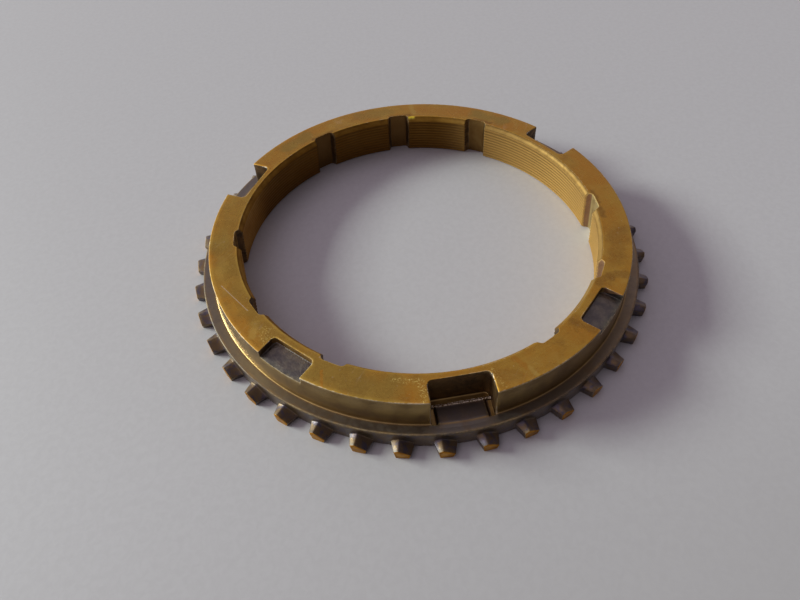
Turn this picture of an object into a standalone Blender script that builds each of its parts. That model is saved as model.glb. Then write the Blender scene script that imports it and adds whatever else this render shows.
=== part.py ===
"""Synchronizer ring of a manual gearbox: one forged and turned brass ring.

The ring stands on its gear side at z = 0, with its axis on Z and its hub side up. One key notch faces -Y.
Angles are in degrees, counted counter-clockwise from +X as seen from above.
"""

from math import atan2, cos, degrees, pi, radians, sin, sqrt, tan

import bmesh
import bpy
from mathutils import Matrix, Vector

MM = 0.001

# Turned body. Its radii are reckoned from the foot of the cone, and its heights from the gear side.
HEIGHT = 7.58 * MM
TURN_STEPS = 120

# Cone that grips the gear, and the lead-in above it
CONE_BOTTOM_RADIUS = 29.0 * MM
CONE_HALF_ANGLE = 7.2
CONE_BOTTOM_CHAMFER = 0.25 * MM
LEAD_IN_DEPTH = 0.83 * MM
LEAD_IN_WIDTH = 0.51 * MM

# Outer wall: an upright turned land, the forged draft below it, and a flare out to the shoulder
WALL_THICKNESS = 4.0 * MM
WALL_EDGE_ROUND = 0.25 * MM
LAND_HEIGHT = 1.2 * MM
DRAFT_STEP = 0.22 * MM
FLARE_WIDTH = 0.28 * MM
FLARE_HEIGHT = 1.02 * MM
FLARE_STEPS = 4
SHOULDER_HEIGHT = 2.88 * MM

# Flange that carries the teeth
FLANGE_WIDTH = 1.62 * MM
FLANGE_RISE = 0.27 * MM
FLANGE_EDGE_ROUND = 0.3 * MM
FLANGE_BOTTOM_CHAMFER = 0.15 * MM

# Blocking teeth, with a roof whose ridge lies off the middle
TOOTH_COUNT = 40
TOOTH_LENGTH = 1.71 * MM
TOOTH_ROOT_HALF_WIDTH = 1.58 * MM
TOOTH_SIDE_TAPER = 0.48 * MM
TOOTH_UNDERCUT = 0.23 * MM
TOOTH_RIDGE_OFFSET = 0.51 * MM
TOOTH_RIDGE_HEIGHT = 1.94 * MM
TOOTH_STEEP_EAVE_DROP = 0.40 * MM
TOOTH_WIDE_EAVE_DROP = 1.03 * MM

# Notches for the three sliding keys
NOTCH_COUNT = 3
NOTCH_FIRST_ANGLE = -90.0
NOTCH_HALF_WIDTH = 4.22 * MM
NOTCH_INNER_STEP = 0.46 * MM
NOTCH_FLOOR_DROP = 0.53 * MM
NOTCH_CORNER_RADIUS = 0.7 * MM
NOTCH_MOUTH_ROUND = 0.35 * MM

# Low lip across each notch floor, and the as-forged pad outside it
LIP_DISTANCE = 0.94 * MM
LIP_WIDTH = 0.45 * MM
LIP_RISE = 0.45 * MM
PAD_DISTANCE = 1.24 * MM
PAD_RISE = 0.40 * MM
PAD_SIDE_GAP = 0.97 * MM
PAD_DRAFT_ANGLE = 35.0
PAD_BLEND = 0.75 * MM

# Oil slots along the cone, at twelve places less those of the key notches
SLOT_PLACES = 12
SLOT_OFFSET_ANGLE = -2.9
SLOT_DEPTH = 1.15 * MM
SLOT_MOUTH_HALF_WIDTH = 1.95 * MM
SLOT_FLOOR_HALF_WIDTH = 1.55 * MM
SLOT_CORNER_RADIUS = 0.35 * MM

# Marking pockets in the top face, one on each side of the first notch
POCKET_OFFSET_ANGLE = 44.0
POCKET_HALF_WIDTH = 3.6 * MM
POCKET_INNER_STEP = 0.8 * MM
POCKET_DEPTH = 1.1 * MM

# How far a cutter passes the surface that it opens, and a joined shape runs into the body
CUT_PAST = 1.0 * MM
BURIED = 0.8 * MM
STEP_MARGIN = 0.05 * MM

ARC_STEPS = 4
SHARP_ANGLE = 30.0

# Places that follow from the sizes above
CONE_SLOPE = tan(radians(CONE_HALF_ANGLE))
CONE_TOP = HEIGHT - LEAD_IN_DEPTH
LEAD_IN_TOP_RADIUS = CONE_BOTTOM_RADIUS - CONE_TOP * CONE_SLOPE + LEAD_IN_WIDTH
WALL_RADIUS = CONE_BOTTOM_RADIUS + WALL_THICKNESS
DRAFT_RADIUS = WALL_RADIUS + DRAFT_STEP
SHOULDER_RADIUS = DRAFT_RADIUS + FLARE_WIDTH
FLARE_TOP = SHOULDER_HEIGHT + FLARE_HEIGHT
FLANGE_RADIUS = SHOULDER_RADIUS + FLANGE_WIDTH
FLANGE_HEIGHT = SHOULDER_HEIGHT + FLANGE_RISE
NOTCH_INNER_FLAT = CONE_BOTTOM_RADIUS + NOTCH_INNER_STEP
NOTCH_FLOOR_HEIGHT = SHOULDER_HEIGHT - NOTCH_FLOOR_DROP
PAD_INNER_END = NOTCH_INNER_FLAT + PAD_DISTANCE
PAD_INNER_HEIGHT = NOTCH_FLOOR_HEIGHT + PAD_RISE
POCKET_INNER_FLAT = CONE_BOTTOM_RADIUS + POCKET_INNER_STEP


def clear_scene():
    for thing in list(bpy.data.objects):
        bpy.data.objects.remove(thing)


def brass_material():
    material = bpy.data.materials.new("aged_brass")
    material.use_nodes = True
    shader = material.node_tree.nodes["Principled BSDF"]
    shader.inputs["Base Color"].default_value = (0.42, 0.24, 0.05, 1.0)
    shader.inputs["Metallic"].default_value = 1.0
    shader.inputs["Roughness"].default_value = 0.38
    return material


def add_object(name, mesh):
    thing = bpy.data.objects.new(name, mesh)
    bpy.context.scene.collection.objects.link(thing)
    return thing


def arc(centre, radius, start, end, steps=ARC_STEPS):
    """Points of an arc around centre, from one angle in degrees to another."""
    angles = [radians(start + (end - start) * step / steps) for step in range(steps + 1)]
    return [(centre[0] + radius * cos(angle), centre[1] + radius * sin(angle)) for angle in angles]


def mirrored(outline):
    """The other half of an outline that is the same on both sides of its first axis."""
    return [(out, -across) for out, across in reversed(outline)]


# Turned body

def cone_radius(height):
    return CONE_BOTTOM_RADIUS - height * CONE_SLOPE


def flange_top(radius):
    """Height of the flange's top face, which rises from the shoulder to the rounded edge."""
    edge_radius = FLANGE_RADIUS - FLANGE_EDGE_ROUND
    rise = FLANGE_RISE / (edge_radius - SHOULDER_RADIUS)
    return SHOULDER_HEIGHT + rise * (radius - SHOULDER_RADIUS)


def flare():
    """Hollow curve from the foot of the draft down to the shoulder, upright at its top end."""
    angles = [pi / 2 * step / FLARE_STEPS for step in range(FLARE_STEPS + 1)]
    return [(DRAFT_RADIUS + FLARE_WIDTH * (1 - cos(a)), FLARE_TOP - FLARE_HEIGHT * sin(a)) for a in angles]


def body_profile():
    """Half section (radius, height) of the turned body, down its outer side and up the cone."""
    wall_edge = (WALL_RADIUS - WALL_EDGE_ROUND, HEIGHT - WALL_EDGE_ROUND)
    flange_edge = (FLANGE_RADIUS - FLANGE_EDGE_ROUND, FLANGE_HEIGHT - FLANGE_EDGE_ROUND)
    cone_foot = cone_radius(CONE_BOTTOM_CHAMFER)
    return [
        *arc(wall_edge, WALL_EDGE_ROUND, 90, 0, steps=2),
        (WALL_RADIUS, HEIGHT - LAND_HEIGHT),
        *flare(),
        *arc(flange_edge, FLANGE_EDGE_ROUND, 90, 0, steps=3),
        (FLANGE_RADIUS, FLANGE_BOTTOM_CHAMFER),
        (FLANGE_RADIUS - FLANGE_BOTTOM_CHAMFER, 0),
        (cone_foot + CONE_BOTTOM_CHAMFER, 0),
        (cone_foot, CONE_BOTTOM_CHAMFER),
        (cone_radius(CONE_TOP), CONE_TOP),
        (LEAD_IN_TOP_RADIUS, HEIGHT),
    ]


def turned_body(name):
    """The half section turned around Z."""
    points = [(radius, 0, height) for radius, height in body_profile()]
    edges = [(here, (here + 1) % len(points)) for here in range(len(points))]
    mesh = bpy.data.meshes.new(name)
    mesh.from_pydata(points, edges, [])
    body = add_object(name, mesh)
    turn = body.modifiers.new("turn", "SCREW")
    turn.angle = 2 * pi
    turn.steps = TURN_STEPS
    turn.render_steps = TURN_STEPS
    turn.use_merge_vertices = True
    turn.merge_threshold = 0.001 * MM
    return body


# Shapes that are joined to the body or cut from it

class Helper:
    """Closed bodies drawn for a feature on +X and repeated at its angles."""

    def __init__(self):
        self.shape = bmesh.new()

    def loft(self, lower, upper, angle):
        """One body between two outlines with as many points each, turned to the angle."""
        turn = Matrix.Rotation(radians(angle), 3, "Z")
        floor = [self.shape.verts.new(turn @ Vector(point)) for point in lower]
        roof = [self.shape.verts.new(turn @ Vector(point)) for point in upper]
        for here in range(len(floor)):
            there = (here + 1) % len(floor)
            self.shape.faces.new((floor[here], floor[there], roof[there], roof[here]))
        self.shape.faces.new(floor[::-1])
        self.shape.faces.new(roof)

    def prism(self, outline, bottom, top, angle):
        """One upright body on a plan outline."""
        lower = [(out, across, bottom) for out, across in outline]
        upper = [(out, across, top) for out, across in outline]
        self.loft(lower, upper, angle)

    def apply(self, body, name, operation):
        """Adds the Boolean that joins these bodies to the ring or cuts them from it."""
        bmesh.ops.recalc_face_normals(self.shape, faces=self.shape.faces)
        mesh = bpy.data.meshes.new(name)
        self.shape.to_mesh(mesh)
        self.shape.free()
        helper = add_object(name, mesh)
        helper.hide_render = True
        helper.display_type = "WIRE"
        boolean = body.modifiers.new(name, "BOOLEAN")
        boolean.operation = operation
        boolean.object = helper


def tooth_section(radius):
    """Outline of a tooth at this radius: its foot, then the wide side, the ridge and the steep side."""
    along = (radius - FLANGE_RADIUS) / TOOTH_LENGTH
    half = TOOTH_ROOT_HALF_WIDTH - along * TOOTH_SIDE_TAPER
    foot = half - TOOTH_UNDERCUT
    return [
        (radius, -foot, 0),
        (radius, foot, 0),
        (radius, half, TOOTH_RIDGE_HEIGHT - TOOTH_WIDE_EAVE_DROP),
        (radius, -TOOTH_RIDGE_OFFSET, TOOTH_RIDGE_HEIGHT),
        (radius, -half, TOOTH_RIDGE_HEIGHT - TOOTH_STEEP_EAVE_DROP),
    ]


def add_teeth(body):
    """Tapered teeth that start inside the flange. The first notch is midway between two of them."""
    teeth = Helper()
    pitch = 360 / TOOTH_COUNT
    root = tooth_section(FLANGE_RADIUS - BURIED)
    tip = tooth_section(FLANGE_RADIUS + TOOTH_LENGTH)
    for number in range(TOOTH_COUNT):
        teeth.loft(root, tip, NOTCH_FIRST_ANGLE + (number + 0.5) * pitch)
    teeth.apply(body, "teeth", "UNION")


def notch_angles():
    return [NOTCH_FIRST_ANGLE + 360 * place / NOTCH_COUNT for place in range(NOTCH_COUNT)]


def notch_outline():
    """Plan of a key notch: rounded mouth, straight side and rounded inner corner, on both sides."""
    reach = SHOULDER_RADIUS + STEP_MARGIN
    mouth_across = NOTCH_HALF_WIDTH + NOTCH_MOUTH_ROUND
    mouth_out = sqrt((WALL_RADIUS - NOTCH_MOUTH_ROUND) ** 2 - mouth_across**2)
    lean = degrees(atan2(mouth_across, mouth_out))
    corner = (NOTCH_INNER_FLAT + NOTCH_CORNER_RADIUS, NOTCH_HALF_WIDTH - NOTCH_CORNER_RADIUS)
    half = [
        *arc((mouth_out, mouth_across), NOTCH_MOUTH_ROUND, lean, -90),
        *arc(corner, NOTCH_CORNER_RADIUS, 90, 180),
    ]
    return arc((0, 0), reach, -lean, lean) + half + mirrored(half)


def cut_notches(body):
    notches = Helper()
    for angle in notch_angles():
        notches.prism(notch_outline(), NOTCH_FLOOR_HEIGHT, HEIGHT + CUT_PAST, angle)
    notches.apply(body, "notches", "DIFFERENCE")


def pad_corners(inner_height, outer_height):
    """Corners of a pad at these heights of its two ends. Its sides widen downwards by the draft."""
    corners = []
    outer_end = SHOULDER_RADIUS + PAD_BLEND + BURIED
    for out, height, side in (
        (PAD_INNER_END, inner_height, -1),
        (outer_end, outer_height, -1),
        (outer_end, outer_height, 1),
        (PAD_INNER_END, inner_height, 1),
    ):
        half = NOTCH_HALF_WIDTH - PAD_SIDE_GAP + (PAD_INNER_HEIGHT - height) * tan(radians(PAD_DRAFT_ANGLE))
        corners.append((out, side * half, height))
    return corners


def add_pads(body):
    """Pads that rise from their inner ends into the flange's top face, and the lips across those ends."""
    root = NOTCH_FLOOR_HEIGHT - BURIED
    blend = SHOULDER_RADIUS + PAD_BLEND
    rise = (flange_top(blend) - PAD_INNER_HEIGHT) / (blend - PAD_INNER_END)
    outer_height = flange_top(blend) + rise * BURIED
    lip_side = NOTCH_HALF_WIDTH + BURIED
    lip_inner_end = NOTCH_INNER_FLAT + LIP_DISTANCE
    lip_half = [(lip_inner_end + LIP_WIDTH, lip_side), (lip_inner_end, lip_side)]
    pads = Helper()
    lips = Helper()
    for angle in notch_angles():
        pads.loft(pad_corners(root, root), pad_corners(PAD_INNER_HEIGHT, outer_height), angle)
        lips.prism(lip_half + mirrored(lip_half), root, NOTCH_FLOOR_HEIGHT + LIP_RISE, angle)
    pads.apply(body, "pads", "UNION")
    lips.apply(body, "lips", "UNION")


def slot_section(height):
    """Plan of an oil slot at this height. Its floor keeps one depth below the cone."""
    surface = cone_radius(height)
    slant = (SLOT_MOUTH_HALF_WIDTH - SLOT_FLOOR_HALF_WIDTH) / SLOT_DEPTH
    corner = (surface + SLOT_DEPTH - SLOT_CORNER_RADIUS, SLOT_FLOOR_HALF_WIDTH - SLOT_CORNER_RADIUS)
    half = [
        *arc(corner, SLOT_CORNER_RADIUS, 0, 90),
        (surface - CUT_PAST, SLOT_MOUTH_HALF_WIDTH + slant * CUT_PAST),
    ]
    return [(out, across, height) for out, across in half + mirrored(half)]


def cut_slots(body):
    """Oil slots that follow the slope of the cone, at each place that has no key notch."""
    slots = Helper()
    places_per_notch = SLOT_PLACES // NOTCH_COUNT
    for place in range(SLOT_PLACES):
        if place % places_per_notch:
            angle = NOTCH_FIRST_ANGLE + SLOT_OFFSET_ANGLE + 360 * place / SLOT_PLACES
            slots.loft(slot_section(-CUT_PAST), slot_section(HEIGHT + CUT_PAST), angle)
    slots.apply(body, "slots", "DIFFERENCE")


def cut_pockets(body):
    """Shallow pockets that run out through the wall."""
    pockets = Helper()
    half = [(WALL_RADIUS + CUT_PAST, POCKET_HALF_WIDTH), (POCKET_INNER_FLAT, POCKET_HALF_WIDTH)]
    for side in (-1, 1):
        angle = NOTCH_FIRST_ANGLE + side * POCKET_OFFSET_ANGLE
        pockets.prism(half + mirrored(half), HEIGHT - POCKET_DEPTH, HEIGHT + CUT_PAST, angle)
    pockets.apply(body, "pockets", "DIFFERENCE")


def settle(body):
    """Turns the modifiers' result into the ring's own mesh, shaded smooth between its sharp edges."""
    graph = bpy.context.evaluated_depsgraph_get()
    mesh = bpy.data.meshes.new_from_object(body.evaluated_get(graph))
    body.modifiers.clear()
    body.data = mesh
    mesh.name = body.name
    mesh.materials.clear()
    mesh.materials.append(brass_material())
    mesh.shade_smooth()
    mesh.set_sharp_from_angle(angle=radians(SHARP_ANGLE))


clear_scene()
ring = turned_body("synchronizer_ring")
add_teeth(ring)
cut_notches(ring)
add_pads(ring)
cut_slots(ring)
cut_pockets(ring)
settle(ring)
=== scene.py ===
import math

import bpy
import numpy as np
from mathutils import Matrix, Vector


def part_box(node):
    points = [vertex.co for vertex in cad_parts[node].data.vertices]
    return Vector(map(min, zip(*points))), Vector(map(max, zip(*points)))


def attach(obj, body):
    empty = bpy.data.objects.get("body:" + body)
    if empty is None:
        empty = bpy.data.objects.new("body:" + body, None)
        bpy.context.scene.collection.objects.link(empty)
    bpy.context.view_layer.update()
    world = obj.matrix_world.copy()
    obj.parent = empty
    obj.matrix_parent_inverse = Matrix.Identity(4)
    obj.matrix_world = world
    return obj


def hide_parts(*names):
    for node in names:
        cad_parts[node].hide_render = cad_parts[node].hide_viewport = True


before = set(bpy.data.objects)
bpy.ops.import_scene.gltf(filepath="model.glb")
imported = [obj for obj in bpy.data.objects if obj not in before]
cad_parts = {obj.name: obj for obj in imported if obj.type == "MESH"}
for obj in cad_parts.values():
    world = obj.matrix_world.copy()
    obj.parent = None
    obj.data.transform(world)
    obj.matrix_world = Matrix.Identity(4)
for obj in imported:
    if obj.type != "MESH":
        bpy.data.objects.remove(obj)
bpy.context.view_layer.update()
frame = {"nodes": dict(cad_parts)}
print("frame loaded:", ", ".join(frame["nodes"]))

mm = 0.001
perMetre = 1000.0  # millimetres in a metre

# Sizes in millimetres. The ring stands on its gear side, and one key notch faces -Y.
ring = {
    "height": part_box("synchronizer_ring")[1].z / mm,
    "coneFootRadius": 29.0,
    "coneAngle": 7.2,
    "footChamfer": 0.25,
    "leadInRadius": 28.66,
    "leadInDepth": 0.83,
    "wallRadius": 33.0,
    "wallRound": 0.17,
    "draftRadius": 33.22,  # the wall widens to here below its turned land
    "flareTop": 3.9,
    "shoulderRadius": 33.5,
    "shoulderHeight": 2.88,
    "flangeRadius": 35.12,
    "flangeSlope": 0.2,
    "footRound": 0.3,
    "rimRound": 0.2,
    "notchFirstAngle": -90.0,
    "notchCount": 3,
    "toothCount": 40,
}

slope = math.tan(math.radians(ring["coneAngle"]))
turn = 2 * math.pi
leastTrim = 0.025  # millimetres, so that the samples of a corner never lie on each other
mostShare = 0.45  # how much of the way to the next key a corner may take
tiny = 1e-9  # keeps a length of nothing from being divided by

# Material slots of the ring's mesh
faceZone, wallZone, coneZone, slotZone, brownedZone, forgedZone, tipZone, pocketZone, leadInZone = range(9)


# Rounded grids

def polar(points):
    # (angle, radius, height) of points given as (x, y, z)
    x, y, z = np.moveaxis(points, -1, 0)
    return np.stack([np.arctan2(y, x), np.hypot(x, y), z], axis=-1)


def spread(values, like):
    # Values along the first axis, shaped so that they spread over the other axes of an array
    return values.reshape((-1,) + (1,) * (like.ndim - 1))


def arrays(records):
    # One array for each field of a list of records
    return [np.array(field) for field in zip(*records)]


def softCorners(keys, trims, cornerSteps, spanSteps, closed=False):
    # A run through key points along the first axis. Each key becomes the parabola
    # (1-s)^2 before + 2s(1-s) key + s^2 after, where before and after lie one trim to each side of it
    # and never past mostShare of the way to the next key. Straight spans join the parabolas.
    # An open run is in x, y, z. A closed one goes once round in angle, radius, height.
    trims = np.where(spread(cornerSteps > 1, trims), np.maximum(trims, leastTrim), trims)
    ahead = np.roll(keys, -1, axis=0)
    behind = np.roll(keys, 1, axis=0)
    if closed:
        ahead[-1, ..., 0] += turn
        behind[0, ..., 0] -= turn
    else:
        ahead[-1] = keys[-1]
        behind[0] = keys[0]
    step = ahead - keys
    if closed:
        step[..., 0] *= keys[..., 1]
    length = np.linalg.norm(step, axis=-1) + tiny
    shareAhead = np.minimum(trims / length, mostShare)[..., None]
    shareBehind = np.minimum(trims / np.roll(length, 1, axis=0), mostShare)[..., None]
    after = keys + (ahead - keys) * shareAhead
    before = keys + (behind - keys) * shareBehind
    nextBefore = np.roll(before, -1, axis=0)
    if closed:
        nextBefore[-1, ..., 0] += turn
    counts = cornerSteps + spanSteps
    owner = np.repeat(np.arange(len(keys)), counts)
    place = np.arange(counts.sum()) - np.repeat(np.cumsum(counts) - counts, counts)
    ownSteps = cornerSteps[owner]
    corner = place < ownSteps
    throughCorner = place / np.maximum(ownSteps - 1, 1)
    alongSpan = (place - ownSteps + 1) / (spanSteps[owner] + 1)
    along = np.where(corner, throughCorner, alongSpan)
    along = np.where(corner & (ownSteps == 1), 0.5, along)
    s = spread(along, keys)
    bend = (1 - s) ** 2 * before[owner] + 2 * s * (1 - s) * keys[owner] + s**2 * after[owner]
    line = (1 - s) * after[owner] + s * nextBefore[owner]
    # position counted in keys, used to look up what lies between two keys
    position = owner + np.where(corner, (along - 0.5) / 2, 0.25 + along / 2)
    return np.where(spread(corner, keys), bend, line), position


def atPositions(values, position):
    # values given at the keys (first axis), read at fractional positions between them
    first = np.floor(position).astype(int)
    share = spread(position - first, values)
    last = len(values) - 1
    return values[np.clip(first, 0, last)] * (1 - share) + values[np.clip(first + 1, 0, last)] * share


def band(keys, rowTrims, rowCorners, rowSpans, columnTrims, columnCorners, columnSpans, zones):
    # A closed band round the axis from key points [column][row]. The rows are rounded first, then the
    # columns. Corners and spans count samples. zones holds the material of the cell that starts at each key.
    keyRows = np.swapaxes(keys, 0, 1)
    rows, rowPlace = softCorners(keyRows, rowTrims.T, np.array(rowCorners), np.array(rowSpans))
    trims = atPositions(columnTrims.T, rowPlace).T
    columns = polar(np.swapaxes(rows, 0, 1))
    columns[..., 0] = np.unwrap(columns[..., 0], axis=0)
    grid, columnPlace = softCorners(columns, trims, columnCorners, columnSpans, closed=True)
    middleRow = np.floor((rowPlace[:-1] + rowPlace[1:]) / 2).astype(int)
    nextPlace = np.append(columnPlace[1:], len(keys) + columnPlace[0])
    middleColumn = np.floor((columnPlace + nextPlace) / 2).astype(int) % len(keys)
    return grid, zones[middleColumn][:, middleRow]


def placed(axisAngles, across, reach, heights, chord):
    # x, y, z of points that lie across a line from the axis at some angle. Where chord is set, reach is
    # measured along that line, and elsewhere it is the distance from the axis.
    out = np.where(chord, reach, np.sqrt(np.maximum(reach**2 - across**2, 0)))
    angle = np.radians(axisAngles)
    x = out * np.cos(angle) - across * np.sin(angle)
    y = out * np.sin(angle) + across * np.cos(angle)
    return np.stack([x, y, heights + np.zeros_like(x)], axis=-1)


def fillPlain(edges, spacing):
    # Angles of evenly spaced columns in each free stretch between one feature's end and the next one's start
    found = []
    for start, end in edges:
        count = max(int(round((end - start) / spacing)), 1)
        found.append(start + (np.arange(count) + 0.5) * (end - start) / count)
    return np.concatenate(found)


def freeStretches(centres, halfAngles):
    # (end of a feature, start of the next) round the whole circle, in degrees
    order = np.argsort(centres)
    centres = np.asarray(centres)[order]
    halfAngles = np.asarray(halfAngles)[order]
    ends = np.roll(centres - halfAngles, -1)
    ends[-1] += 360
    return list(zip(centres + halfAngles, ends))


def roundTheRing(degrees):
    # The angle from 0 to 360 by which columns are sorted
    return (degrees + 720) % 360


def coneRadius(height):
    return ring["coneFootRadius"] - height * slope


def flangeTop(radius):
    return ring["shoulderHeight"] + ring["flangeSlope"] * (radius - ring["shoulderRadius"])


# Cone, lead-in and oil slots

coneBand = {
    "topRadius": 29.31,
    "bottomRadius": 30.6,
    "edgeTrim": 0.1,  # rounding between the hub face and the lead-in
    "leadInTrim": 0.08,
    "threadPitch": 0.62,
    "threadWidth": 0.52,
    "threadDepth": 0.12,
    "threadFirst": 0.62,  # height of the lowest groove
    "threadCount": 10,
    "crestTrim": 0.03,
    "grooveTrim": 0.04,
    "footTrim": 0.05,
    "slotPlaces": 12,
    "slotOffset": -2.9,
    "slotDepth": 1.15,
    "slotBeside": (2.9, 2.25),  # columns on the cone beside a slot
    "slotMouth": 1.95,
    "mouthTrim": 0.09,
    "slotFloor": 1.55,
    "slotCorner": 0.35,
    "slotInside": 0.7,
    "slotClear": 1.0,  # degrees between a slot's last column and the plain ones
    "plainSpacing": 2.1,
}


def coneRows():
    # (radius, height, trim, corner samples, span samples) of the keys from the hub face down the lead-in and
    # the thread to the gear-side face. A groove lies threadDepth behind the cone at the middle of its width.
    b = coneBand
    top, chamfer = ring["height"], ring["footChamfer"]
    leadInEnd = top - ring["leadInDepth"]
    rows = [(b["topRadius"], top, 0, 1, 1), (ring["leadInRadius"], top, b["edgeTrim"], 4, 1),
            (coneRadius(leadInEnd), leadInEnd, b["leadInTrim"], 3, 0)]
    for groove in reversed(range(b["threadCount"])):
        for side in (1, 0, -1):
            height = b["threadFirst"] + groove * b["threadPitch"] + side * b["threadWidth"] / 2
            depth, trim = (0, b["crestTrim"]) if side else (b["threadDepth"], b["grooveTrim"])
            rows.append((coneRadius(height) + depth, height, trim, 2, 0))
    return rows + [(coneRadius(chamfer), chamfer, b["footTrim"], 2, 0),
                   (coneRadius(0) + chamfer, 0, b["footTrim"], 3, 1), (b["bottomRadius"], 0, 0, 1, 0)]


def coneBandGrid():
    # The cone, radius = foot radius - height * slope, with its thread. Inside a slot the surface lies
    # slotDepth further out, measured along the slot's middle line.
    b = coneBand
    radii, heights, rowTrims, rowCorners, rowSpans = arrays(coneRows())
    perNotch = b["slotPlaces"] // ring["notchCount"]
    slots = [ring["notchFirstAngle"] + b["slotOffset"] + 360 * place / b["slotPlaces"]
             for place in range(b["slotPlaces"]) if place % perNotch]
    # how far across, share of the slot's depth, trim, corner samples
    half = [(across, 0, 0, 1) for across in b["slotBeside"]]
    half += [(b["slotMouth"], 0, b["mouthTrim"], 4), (b["slotFloor"], 1, b["slotCorner"], 4),
             (b["slotInside"], 1, 0, 1)]
    halfAngle = math.degrees(b["slotBeside"][0] / coneRadius(0)) + b["slotClear"]
    plain = fillPlain(freeStretches(slots, [halfAngle] * len(slots)), b["plainSpacing"])
    columns = [(angle, 0, 0, 0, 1, 0) for angle in plain]
    for centre in slots:
        columns.append((centre, 0, 1, 0, 1, 1))
        columns += [(centre, side * across, *rest, 1) for across, *rest in half for side in (-1, 1)]
    columns.sort(key=lambda c: roundTheRing(c[0] + math.degrees(c[1] / ring["coneFootRadius"])))
    centre, across, depth, trim, steps, spans = arrays(columns)
    depth = depth[:, None]
    row = np.arange(len(radii))
    inSlot = (depth > 0) & (row > 0) & (row < len(radii) - 1)
    reach = np.where(inSlot, coneRadius(heights) + depth * b["slotDepth"], radii)
    keys = placed(centre[:, None], across[:, None], reach, heights, inSlot)
    zones = np.full(reach.shape, coneZone)
    zones[:, 1] = leadInZone
    cut = depth[:, 0] > 0
    nextCut = np.roll(cut, -1)
    zones[cut & nextCut] = slotZone
    zones[cut != nextCut] = brownedZone
    zones[:, 0] = faceZone
    zones[:, -2:] = faceZone
    rowTrims, columnTrims = (np.broadcast_to(trims, reach.shape) for trims in (rowTrims, trim[:, None]))
    return band(keys, rowTrims, rowCorners, rowSpans, columnTrims, steps, spans, zones)


# Hub side: top face, outer wall, key notches and pockets, out to the middle of the flange's top

hubBand = {
    "innerRadius": 29.38,
    "faceMiddle": 30.0,
    "stepEnd": 33.62,
    "middleRadius": 33.9,
    "outerRadius": 34.15,
    "flareAngles": (36, 66),  # degrees along the flare's quarter turn
    "notchHalf": 4.22,
    "notchFlat": 29.46,
    "notchFloor": 2.35,
    "notchCorner": 0.7,
    "notchOutside": ((2.2, 1), (1.1, 1), (0.5, 0)),  # distance outside the notch and span samples
    "notchMouth": (0.12, 0.4),  # trims on the hub face and on the wall, as for the sides and edges below
    "notchSide": (0.12, 0.12),
    "notchInside": (4.1, 3.94, 3.76),
    "lipStart": 30.4,
    "lipRun": 0.06,  # how far the lip's near side leans
    "lipEnd": 30.85,
    "lipFall": 0.1,
    "lipFoot": 0.02,
    "lipHeight": 2.8,
    "padHalf": 3.25,
    "padFoot": 3.53,
    "padEdge": (0.1, 0.1),
    "padInside": (2.5, 1.6, 0.8),
    "padGap": 0.02,
    "padStart": 2.73,
    "padEnd": 2.93,
    "padRises": (0.045, 0.02, 0.0),  # above the flange's top, where the pad runs out
    "pocketOffset": 44.0,
    "pocketHalf": 3.6,
    "pocketCorner": 0.6,
    "pocketFlat": 29.7,
    "pocketDepth": 1.1,
    "pocketOutside": ((1.3, 1), (0.5, 0)),
    "pocketMouth": (0.07, 0.13),
    "pocketSide": (0.2, 0.03),
    "pocketBack": (0.24, 0.4),  # distances inside the pocket's side
    "pocketInside": (2.1, 1.05),
    "wallGap": 0.01,  # half the distance between the two columns of an upright wall
    "plainSpacing": 2.0,
    "rowCorners": (1, 4, 6, 3, 4, 4, 4, 3, 3, 3, 1),
    "rowSpans": (1, 5, 3, 2, 1, 1, 1, 0, 1, 1, 0),
}


def hubSections():
    # Key points (reach, height) of each kind of section, with as many rows each, and the trims of their
    # corners. The flare is a quarter of an ellipse, (1 - cos a) across and sin a down.
    b = hubBand
    top, floor, lip = ring["height"], b["notchFloor"], b["lipHeight"]
    pocketFloor = top - b["pocketDepth"]
    across = ring["shoulderRadius"] - ring["draftRadius"]
    drop = ring["flareTop"] - ring["shoulderHeight"]
    flare = [(ring["draftRadius"] + across * (1 - math.cos(a)), ring["flareTop"] - drop * math.sin(a))
             for a in map(math.radians, b["flareAngles"])]
    onFlange = [(b[name], flangeTop(b[name])) for name in ("stepEnd", "middleRadius", "outerRadius")]
    lower = [(ring["wallRadius"], pocketFloor), (ring["draftRadius"], ring["flareTop"]), *flare,
             (ring["shoulderRadius"], ring["shoulderHeight"]), *onFlange]
    full = [(b["innerRadius"], top), (b["faceMiddle"], top), (ring["wallRadius"], top), *lower]
    pocket = [(b["innerRadius"], top), (b["pocketFlat"], top), (b["pocketFlat"], pocketFloor), *lower]
    strip = [(b["innerRadius"], top), (b["notchFlat"], top), (b["notchFlat"], floor), (b["lipStart"], floor),
             (b["lipStart"] + b["lipRun"], lip), (b["lipEnd"] - b["lipFall"], lip),
             (b["lipEnd"], floor + b["lipFoot"]), (ring["shoulderRadius"], floor), *onFlange]
    pad = [*strip[:6], (b["lipEnd"] + b["padGap"], b["padStart"]), (ring["shoulderRadius"], b["padEnd"]),
           *[(radius, height + rise) for (radius, height), rise in zip(onFlange, b["padRises"])]]
    wallRound, footRound = ring["wallRound"], ring["footRound"]
    return {
        "full": (full, (0, 0, wallRound, 0.3, 0.4, 0.25, 0.2, footRound, 0.1, 0.1, 0)),
        "pocket": (pocket, (0, 0.08, 0.2, 0.08, 0.4, 0.25, 0.2, footRound, 0.1, 0.1, 0)),
        "strip": (strip, (0, 0.12, 0.25, 0.1, 0.06, 0.1, 0.1, 0.06, 0.06, 0.1, 0)),
        "pad": (pad, (0, 0.12, 0.25, 0.1, 0.06, 0.1, 0.25, 0.1, 0.1, 0.1, 0)),
    }


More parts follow.
